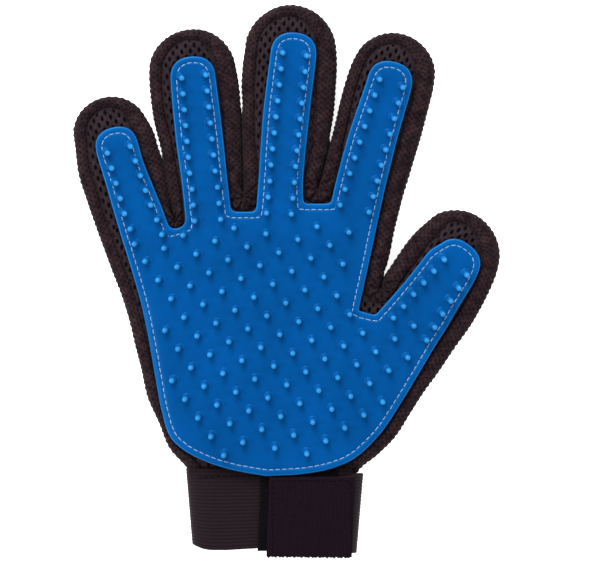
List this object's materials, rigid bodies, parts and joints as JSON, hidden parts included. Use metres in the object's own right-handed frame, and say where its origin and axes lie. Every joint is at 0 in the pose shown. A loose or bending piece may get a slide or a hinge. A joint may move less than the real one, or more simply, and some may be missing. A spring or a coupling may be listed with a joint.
{
  "type": "grooming glove",
  "caption": "Right-hand pet grooming glove: airy mesh fabric, silicone palm with flexible nubs, bending fingers and an elastic wrist band closed by a hook-and-loop strap.",
  "frame": {"origin": "on the surface that the back of the glove lies on, under the middle of the palm", "axes": "+X towards the thumb side, +Y towards the fingertips, +Z out of the palm, the way the silicone nubs point"},
  "size_m": [0.1779, 0.232, 0.0244],
  "materials": {
    "spacer_mesh": "matte",
    "silicone": "satin",
    "thread": "matte",
    "elastic": "matte",
    "hook_tape": "matte",
    "loop_pile": "matte"
  },
  "bodies": {
    "hand": {"cuff_stitch_thread": "thread", "grooming_pad": "silicone", "hand_back_mesh": "spacer_mesh", "hand_little_gusset": "spacer_mesh", "hand_palm_mesh": "spacer_mesh", "hand_thumb_gusset": "spacer_mesh", "index_middle_gusset": "spacer_mesh", "index_middle_thread": "thread", "loop_patch": "loop_pile", "middle_ring_gusset": "spacer_mesh", "middle_ring_thread": "thread", "palm_edge_thread": "thread", "ring_little_gusset": "spacer_mesh", "ring_little_thread": "thread", "thumb_index_gusset": "spacer_mesh", "thumb_index_thread": "thread", "wrist_elastic": "elastic"},
    "thumb_finger": {"thumb_back_mesh": "spacer_mesh", "thumb_grooming_strip": "silicone", "thumb_palm_mesh": "spacer_mesh", "thumb_side_gusset": "spacer_mesh", "thumb_stitch_thread": "thread"},
    "index_finger": {"index_back_mesh": "spacer_mesh", "index_grooming_strip": "silicone", "index_palm_mesh": "spacer_mesh", "index_side_gusset": "spacer_mesh", "index_stitch_thread": "thread"},
    "middle_finger": {"middle_back_mesh": "spacer_mesh", "middle_grooming_strip": "silicone", "middle_palm_mesh": "spacer_mesh", "middle_side_gusset": "spacer_mesh", "middle_stitch_thread": "thread"},
    "ring_finger": {"ring_back_mesh": "spacer_mesh", "ring_grooming_strip": "silicone", "ring_palm_mesh": "spacer_mesh", "ring_side_gusset": "spacer_mesh", "ring_stitch_thread": "thread"},
    "little_finger": {"little_back_mesh": "spacer_mesh", "little_grooming_strip": "silicone", "little_palm_mesh": "spacer_mesh", "little_side_gusset": "spacer_mesh", "little_stitch_thread": "thread"},
    "strap": {"hook_field": "hook_tape", "hook_tape": "hook_tape", "strap_elastic": "elastic", "strap_stitch_thread": "thread"}
  },
  "joints": [
    {"name": "thumb_flexion", "type": "hinge", "parent": "hand", "child": "thumb_finger", "pos_m": [0.0543, -0.0102, 0.0219], "axis": [0.808, -0.5892, 0], "range_deg": [0, 50]},
    {"name": "index_flexion", "type": "hinge", "parent": "hand", "child": "index_finger", "pos_m": [0.0316, 0.0414, 0.0219], "axis": [0.9634, -0.2682, 0], "range_deg": [0, 70]},
    {"name": "middle_flexion", "type": "hinge", "parent": "hand", "child": "middle_finger", "pos_m": [-0.0026, 0.0432, 0.0219], "axis": [0.9973, -0.0739, 0], "range_deg": [0, 70]},
    {"name": "ring_flexion", "type": "hinge", "parent": "hand", "child": "ring_finger", "pos_m": [-0.0342, 0.0386, 0.0219], "axis": [0.9935, 0.1141, 0], "range_deg": [0, 70]},
    {"name": "little_flexion", "type": "hinge", "parent": "hand", "child": "little_finger", "pos_m": [-0.0638, 0.0234, 0.0219], "axis": [0.9744, 0.225, 0], "range_deg": [0, 70]},
    {"name": "strap_opening", "type": "hinge", "parent": "hand", "child": "strap", "pos_m": [0.0314, -0.0975, 0.0095], "axis": [0, 1, 0], "range_deg": [0, 150]}
  ]
}
